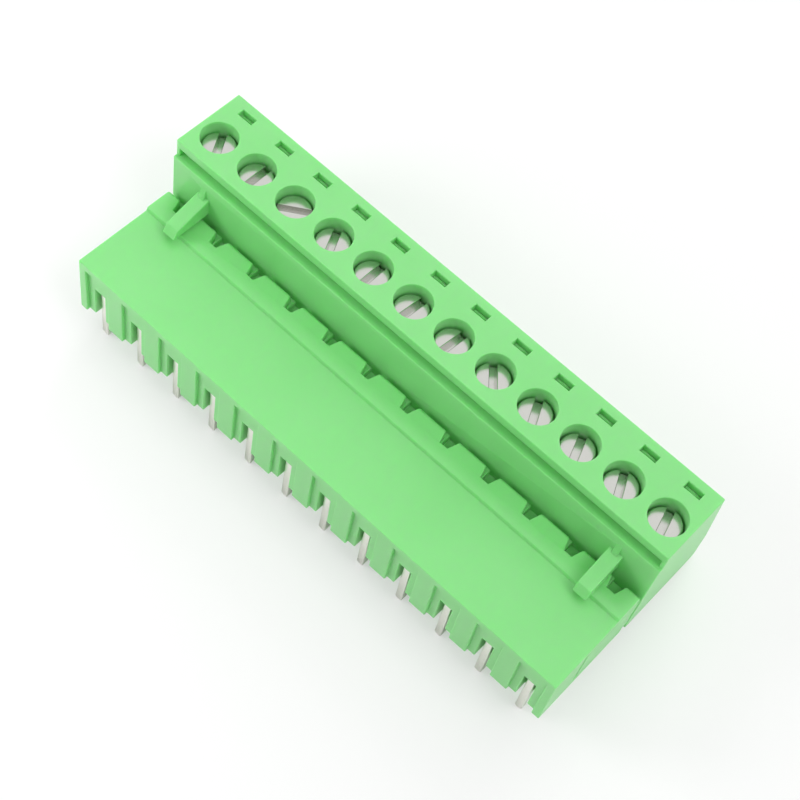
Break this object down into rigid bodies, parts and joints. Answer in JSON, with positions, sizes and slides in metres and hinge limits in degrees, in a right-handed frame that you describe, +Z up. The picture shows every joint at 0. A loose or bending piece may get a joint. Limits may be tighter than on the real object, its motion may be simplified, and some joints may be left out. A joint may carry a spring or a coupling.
{
  "type": "pluggable terminal block",
  "caption": "Right-angle pin header for a circuit board, mated with a pull-off screw plug that clamps a row of wires in rising cages.",
  "frame": {"origin": "middle of the row of solder pins, on the circuit board's face", "axes": "+X along the row of poles, +Y out of the wire side, +Z up from the board"},
  "size_m": [0.061, 0.0233, 0.0193],
  "materials": {
    "housing_plastic": "satin moulded polyamide",
    "zinc_steel": "bright zinc plate",
    "tinned_brass": "matt tin plate",
    "contact_bronze": "tin plate"
  },
  "bodies": {
    "header": {"header_housing": "housing_plastic", "header_pin_01": "tinned_brass", "header_pin_02": "tinned_brass", "header_pin_03": "tinned_brass", "header_pin_04": "tinned_brass", "header_pin_05": "tinned_brass", "header_pin_06": "tinned_brass", "header_pin_07": "tinned_brass", "header_pin_08": "tinned_brass", "header_pin_09": "tinned_brass", "header_pin_10": "tinned_brass", "header_pin_11": "tinned_brass", "header_pin_12": "tinned_brass"},
    "plug": {"plug_housing": "housing_plastic", "wire_cover": "housing_plastic", "contact_01": "contact_bronze", "contact_02": "contact_bronze", "contact_03": "contact_bronze", "contact_04": "contact_bronze", "contact_05": "contact_bronze", "contact_06": "contact_bronze", "contact_07": "contact_bronze", "contact_08": "contact_bronze", "contact_09": "contact_bronze", "contact_10": "contact_bronze", "contact_11": "contact_bronze", "contact_12": "contact_bronze"},
    "screw_01": {"screw_01": "zinc_steel"},
    "screw_02": {"screw_02": "zinc_steel"},
    "screw_03": {"screw_03": "zinc_steel"},
    "screw_04": {"screw_04": "zinc_steel"},
    "screw_05": {"screw_05": "zinc_steel"},
    "screw_06": {"screw_06": "zinc_steel"},
    "screw_07": {"screw_07": "zinc_steel"},
    "screw_08": {"screw_08": "zinc_steel"},
    "screw_09": {"screw_09": "zinc_steel"},
    "screw_10": {"screw_10": "zinc_steel"},
    "screw_11": {"screw_11": "zinc_steel"},
    "screw_12": {"screw_12": "zinc_steel"},
    "wire_cage_01": {"wire_cage_01": "zinc_steel"},
    "wire_cage_02": {"wire_cage_02": "zinc_steel"},
    "wire_cage_03": {"wire_cage_03": "zinc_steel"},
    "wire_cage_04": {"wire_cage_04": "zinc_steel"},
    "wire_cage_05": {"wire_cage_05": "zinc_steel"},
    "wire_cage_06": {"wire_cage_06": "zinc_steel"},
    "wire_cage_07": {"wire_cage_07": "zinc_steel"},
    "wire_cage_08": {"wire_cage_08": "zinc_steel"},
    "wire_cage_09": {"wire_cage_09": "zinc_steel"},
    "wire_cage_10": {"wire_cage_10": "zinc_steel"},
    "wire_cage_11": {"wire_cage_11": "zinc_steel"},
    "wire_cage_12": {"wire_cage_12": "zinc_steel"}
  },
  "joints": [
    {"name": "plug_slide", "type": "slide", "parent": "header", "child": "plug", "axis": [0, 1, 0], "range_m": [0, 0.01]},
    {"name": "screw_turn_01", "type": "hinge", "parent": "plug", "child": "screw_01", "pos_m": [-0.02794, 0.0148, 0.0141], "axis": [0, 0, 1], "range_deg": [-2160, 0]},
    {"name": "screw_turn_02", "type": "hinge", "parent": "plug", "child": "screw_02", "pos_m": [-0.02286, 0.0148, 0.0141], "axis": [0, 0, 1], "range_deg": [-2160, 0]},
    {"name": "screw_turn_03", "type": "hinge", "parent": "plug", "child": "screw_03", "pos_m": [-0.01778, 0.0148, 0.0141], "axis": [0, 0, 1], "range_deg": [-2160, 0]},
    {"name": "screw_turn_04", "type": "hinge", "parent": "plug", "child": "screw_04", "pos_m": [-0.0127, 0.0148, 0.0141], "axis": [0, 0, 1], "range_deg": [-2160, 0]},
    {"name": "screw_turn_05", "type": "hinge", "parent": "plug", "child": "screw_05", "pos_m": [-0.00762, 0.0148, 0.0141], "axis": [0, 0, 1], "range_deg": [-2160, 0]},
    {"name": "screw_turn_06", "type": "hinge", "parent": "plug", "child": "screw_06", "pos_m": [-0.00254, 0.0148, 0.0141], "axis": [0, 0, 1], "range_deg": [-2160, 0]},
    {"name": "screw_turn_07", "type": "hinge", "parent": "plug", "child": "screw_07", "pos_m": [0.00254, 0.0148, 0.0141], "axis": [0, 0, 1], "range_deg": [-2160, 0]},
    {"name": "screw_turn_08", "type": "hinge", "parent": "plug", "child": "screw_08", "pos_m": [0.00762, 0.0148, 0.0141], "axis": [0, 0, 1], "range_deg": [-2160, 0]},
    {"name": "screw_turn_09", "type": "hinge", "parent": "plug", "child": "screw_09", "pos_m": [0.0127, 0.0148, 0.0141], "axis": [0, 0, 1], "range_deg": [-2160, 0]},
    {"name": "screw_turn_10", "type": "hinge", "parent": "plug", "child": "screw_10", "pos_m": [0.01778, 0.0148, 0.0141], "axis": [0, 0, 1], "range_deg": [-2160, 0]},
    {"name": "screw_turn_11", "type": "hinge", "parent": "plug", "child": "screw_11", "pos_m": [0.02286, 0.0148, 0.0141], "axis": [0, 0, 1], "range_deg": [-2160, 0]},
    {"name": "screw_turn_12", "type": "hinge", "parent": "plug", "child": "screw_12", "pos_m": [0.02794, 0.0148, 0.0141], "axis": [0, 0, 1], "range_deg": [-2160, 0]},
    {"name": "cage_lift_01", "type": "slide", "parent": "plug", "child": "wire_cage_01", "axis": [0, 0, 1], "range_m": [0, 0.003]},
    {"name": "cage_lift_02", "type": "slide", "parent": "plug", "child": "wire_cage_02", "axis": [0, 0, 1], "range_m": [0, 0.003]},
    {"name": "cage_lift_03", "type": "slide", "parent": "plug", "child": "wire_cage_03", "axis": [0, 0, 1], "range_m": [0, 0.003]},
    {"name": "cage_lift_04", "type": "slide", "parent": "plug", "child": "wire_cage_04", "axis": [0, 0, 1], "range_m": [0, 0.003]},
    {"name": "cage_lift_05", "type": "slide", "parent": "plug", "child": "wire_cage_05", "axis": [0, 0, 1], "range_m": [0, 0.003]},
    {"name": "cage_lift_06", "type": "slide", "parent": "plug", "child": "wire_cage_06", "axis": [0, 0, 1], "range_m": [0, 0.003]},
    {"name": "cage_lift_07", "type": "slide", "parent": "plug", "child": "wire_cage_07", "axis": [0, 0, 1], "range_m": [0, 0.003]},
    {"name": "cage_lift_08", "type": "slide", "parent": "plug", "child": "wire_cage_08", "axis": [0, 0, 1], "range_m": [0, 0.003]},
    {"name": "cage_lift_09", "type": "slide", "parent": "plug", "child": "wire_cage_09", "axis": [0, 0, 1], "range_m": [0, 0.003]},
    {"name": "cage_lift_10", "type": "slide", "parent": "plug", "child": "wire_cage_10", "axis": [0, 0, 1], "range_m": [0, 0.003]},
    {"name": "cage_lift_11", "type": "slide", "parent": "plug", "child": "wire_cage_11", "axis": [0, 0, 1], "range_m": [0, 0.003]},
    {"name": "cage_lift_12", "type": "slide", "parent": "plug", "child": "wire_cage_12", "axis": [0, 0, 1], "range_m": [0, 0.003]}
  ],
  "couplings": [
    {"joint": "screw_turn_01", "follows": "cage_lift_01", "rad_per_m": -12566},
    {"joint": "screw_turn_02", "follows": "cage_lift_02", "rad_per_m": -12566},
    {"joint": "screw_turn_03", "follows": "cage_lift_03", "rad_per_m": -12566},
    {"joint": "screw_turn_04", "follows": "cage_lift_04", "rad_per_m": -12566},
    {"joint": "screw_turn_05", "follows": "cage_lift_05", "rad_per_m": -12566},
    {"joint": "screw_turn_06", "follows": "cage_lift_06", "rad_per_m": -12566},
    {"joint": "screw_turn_07", "follows": "cage_lift_07", "rad_per_m": -12566},
    {"joint": "screw_turn_08", "follows": "cage_lift_08", "rad_per_m": -12566},
    {"joint": "screw_turn_09", "follows": "cage_lift_09", "rad_per_m": -12566},
    {"joint": "screw_turn_10", "follows": "cage_lift_10", "rad_per_m": -12566},
    {"joint": "screw_turn_11", "follows": "cage_lift_11", "rad_per_m": -12566},
    {"joint": "screw_turn_12", "follows": "cage_lift_12", "rad_per_m": -12566}
  ]
}
